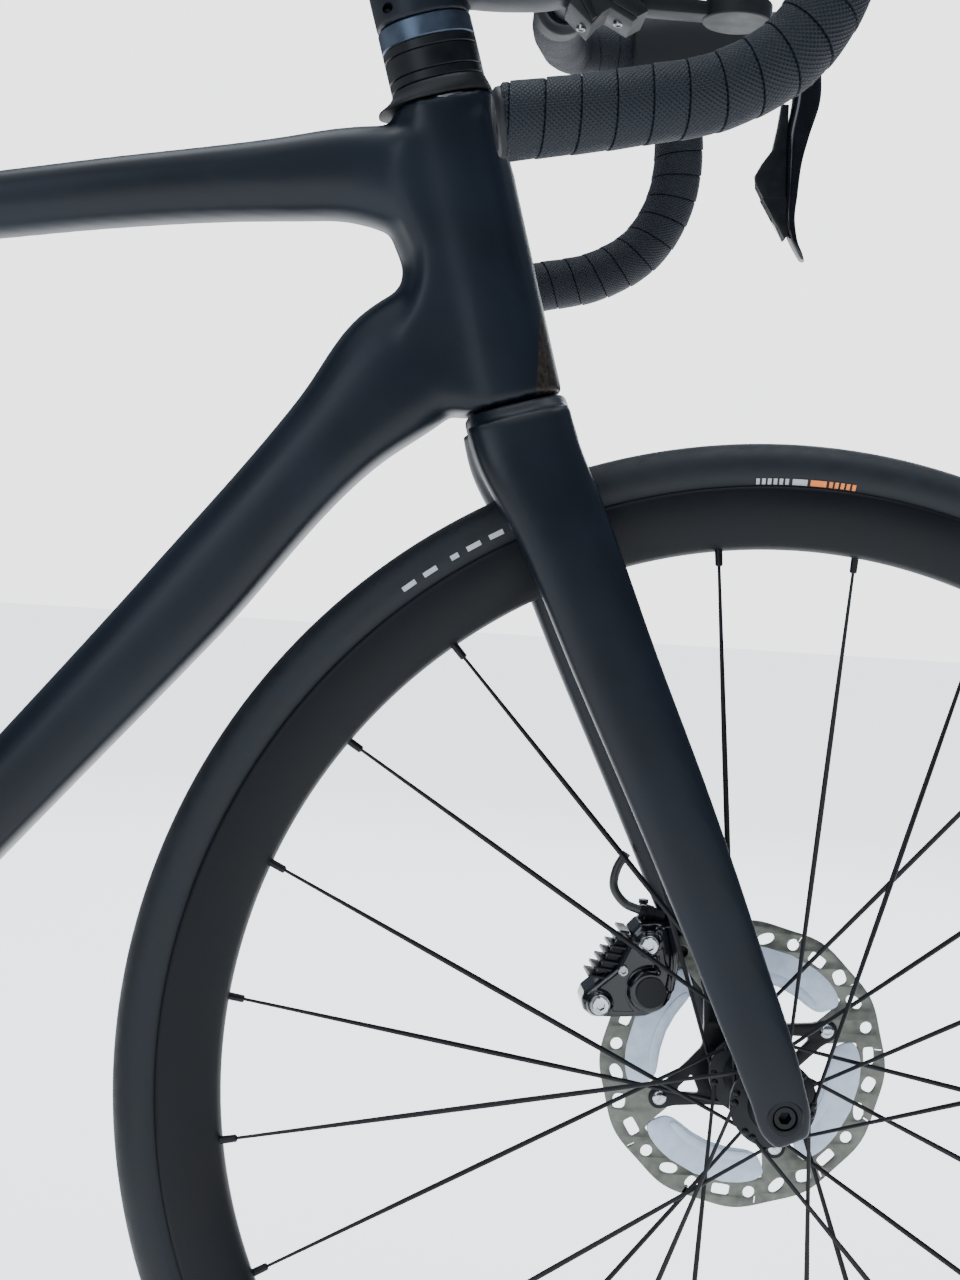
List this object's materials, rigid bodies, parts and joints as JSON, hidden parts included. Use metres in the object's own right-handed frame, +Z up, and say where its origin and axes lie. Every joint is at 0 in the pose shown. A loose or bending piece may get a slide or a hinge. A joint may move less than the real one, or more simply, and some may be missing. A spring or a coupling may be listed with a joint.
{
  "type": "road bicycle",
  "caption": "Road bicycle with drop bar, disc brakes, deep rims, steering fork, spinning wheels, cranks, pedals, levers and derailleurs.",
  "frame": {"origin": "on the ground, midway between the two axles, in the middle plane", "axes": "+X forward, +Y to the rider's left, +Z up"},
  "size_m": [1.6686, 0.4454, 0.9772],
  "materials": {
    "carbon_satin": "satin",
    "gloss_black": "gloss",
    "satin_metal": "satin",
    "anodised_grey": "satin",
    "hood_rubber": "matte",
    "tyre_rubber": "matte",
    "bar_tape": "matte",
    "saddle_cover": "satin",
    "steel": "satin",
    "alloy_grey": "satin"
  },
  "bodies": {
    "frame": {"frame_main": "carbon_satin", "rear_triangle": "carbon_satin", "derailleur_hanger": "satin_metal", "seatpost": "carbon_satin", "saddle_pad": "saddle_cover", "saddle_base": "gloss_black", "saddle_clamp": "satin_metal", "bracket_cup_left": "satin_metal", "bracket_cup_right": "satin_metal", "headset_bearing_lower": "steel", "headset_bearing_upper": "steel", "headset_cover": "carbon_satin", "rear_thru_axle": "satin_metal", "rear_caliper": "gloss_black", "chain": "steel", "derailleur_mount": "satin_metal", "front_derailleur": "gloss_black"},
    "steered": {"fork": "carbon_satin", "front_thru_axle": "satin_metal", "spacer_1": "satin_metal", "spacer_2": "satin_metal", "spacer_3": "satin_metal", "spacer_4": "anodised_grey", "cockpit": "carbon_satin", "bar_tape_left": "bar_tape", "bar_tape_right": "bar_tape", "hood_left": "hood_rubber", "hood_right": "hood_rubber", "computer_mount": "satin_metal", "front_caliper": "gloss_black", "front_hose": "hood_rubber"},
    "front_wheel": {"front_tyre": "tyre_rubber", "front_rim": "carbon_satin", "front_hub": "satin_metal", "front_spokes_left": "satin_metal", "front_spokes_right": "satin_metal", "front_rotor": "steel"},
    "rear_wheel": {"rear_tyre": "tyre_rubber", "rear_rim": "carbon_satin", "rear_hub": "satin_metal", "rear_spokes_left": "satin_metal", "rear_spokes_right": "satin_metal", "rear_rotor": "steel"},
    "cassette_body": {"cassette": "alloy_grey"},
    "crankset": {"chainring_large": "satin_metal", "chainring_small": "satin_metal", "crank_right": "gloss_black", "crank_left": "gloss_black"},
    "pedal_right_body": {"pedal_right": "satin_metal"},
    "pedal_left_body": {"pedal_left": "satin_metal"},
    "lever_left": {"brake_lever_left": "gloss_black"},
    "lever_right": {"brake_lever_right": "gloss_black"},
    "paddle_left": {"shift_paddle_left": "gloss_black"},
    "paddle_right": {"shift_paddle_right": "gloss_black"},
    "link_body": {"derailleur_link": "satin_metal"},
    "knuckle_body": {"derailleur_knuckle": "satin_metal"},
    "cage_body": {"derailleur_cage": "satin_metal"},
    "jockey_upper_body": {"jockey_upper": "satin_metal"},
    "jockey_lower_body": {"jockey_lower": "satin_metal"},
    "front_cage_body": {"front_derailleur_cage": "satin_metal"}
  },
  "joints": [
    {"name": "steering", "type": "hinge", "parent": "frame", "child": "steered", "pos_m": [0.34192, 0, 0.68694], "axis": [-0.2924, 0, 0.9563], "range_deg": [-60, 60]},
    {"name": "front_wheel_spin", "type": "hinge", "parent": "steered", "child": "front_wheel", "pos_m": [0.49535, 0, 0.339], "axis": [0, 1, 0], "continuous": true},
    {"name": "rear_wheel_spin", "type": "hinge", "parent": "frame", "child": "rear_wheel", "pos_m": [-0.49535, 0, 0.339], "axis": [0, 1, 0], "continuous": true},
    {"name": "crank_spin", "type": "hinge", "parent": "frame", "child": "crankset", "pos_m": [-0.08664, 0, 0.267], "axis": [0, 1, 0], "continuous": true, "deforming": ["chain"]},
    {"name": "cassette_spin", "type": "hinge", "parent": "frame", "child": "cassette_body", "pos_m": [-0.49535, 0, 0.339], "axis": [0, 1, 0], "continuous": true},
    {"name": "pedal_right_spin", "type": "hinge", "parent": "crankset", "child": "pedal_right_body", "pos_m": [0.08586, -0.11, 0.267], "axis": [0, 1, 0], "continuous": true},
    {"name": "pedal_left_spin", "type": "hinge", "parent": "crankset", "child": "pedal_left_body", "pos_m": [-0.25914, 0.11, 0.267], "axis": [0, 1, 0], "continuous": true},
    {"name": "brake_lever_left", "type": "hinge", "parent": "steered", "child": "lever_left", "pos_m": [0.52535, 0.201, 0.939], "axis": [0, 1, 0], "range_deg": [0, 20], "stiffness_Nm_per_rad": 1.5, "springref_deg": -5.73},
    {"name": "shift_paddle_left", "type": "hinge", "parent": "lever_left", "child": "paddle_left", "pos_m": [0.51635, 0.201, 0.879], "axis": [0, 0, 1], "range_deg": [0, 6], "stiffness_Nm_per_rad": 0.5, "springref_deg": -5.73},
    {"name": "brake_lever_right", "type": "hinge", "parent": "steered", "child": "lever_right", "pos_m": [0.52535, -0.201, 0.939], "axis": [0, 1, 0], "range_deg": [0, 20], "stiffness_Nm_per_rad": 1.5, "springref_deg": -5.73},
    {"name": "shift_paddle_right", "type": "hinge", "parent": "lever_right", "child": "paddle_right", "pos_m": [0.51635, -0.201, 0.879], "axis": [0, 0, -1], "range_deg": [0, 6], "stiffness_Nm_per_rad": 0.5, "springref_deg": -5.73},
    {"name": "derailleur_shift", "type": "hinge", "parent": "frame", "child": "link_body", "pos_m": [-0.50485, -0.092, 0.295], "axis": [0.4005, 0.4253, 0.8116], "range_deg": [-28, 28]},
    {"name": "derailleur_level", "type": "hinge", "parent": "link_body", "child": "knuckle_body", "pos_m": [-0.46885, -0.103, 0.283], "axis": [0.4005, 0.4253, 0.8116], "range_deg": [-28, 28]},
    {"name": "cage_swing", "type": "hinge", "parent": "knuckle_body", "child": "cage_body", "pos_m": [-0.49135, -0.047, 0.255], "axis": [0, 1, 0], "range_deg": [-25, 45], "stiffness_Nm_per_rad": 0.3},
    {"name": "jockey_upper_spin", "type": "hinge", "parent": "cage_body", "child": "jockey_upper_body", "pos_m": [-0.49135, -0.047, 0.255], "axis": [0, 1, 0], "continuous": true},
    {"name": "jockey_lower_spin", "type": "hinge", "parent": "cage_body", "child": "jockey_lower_body", "pos_m": [-0.46935, -0.047, 0.203], "axis": [0, 1, 0], "continuous": true},
    {"name": "front_derailleur_shift", "type": "hinge", "parent": "frame", "child": "front_cage_body", "pos_m": [-0.13565, -0.0445, 0.405], "axis": [1, 0, 0], "range_deg": [0, 8]}
  ],
  "couplings": [
    {"joint": "cassette_spin", "follows": "crank_spin", "ratio": 3.25},
    {"joint": "jockey_upper_spin", "follows": "crank_spin", "ratio": -4.7273},
    {"joint": "jockey_lower_spin", "follows": "crank_spin", "ratio": 4.7273},
    {"joint": "derailleur_level", "follows": "derailleur_shift", "ratio": -1}
  ]
}
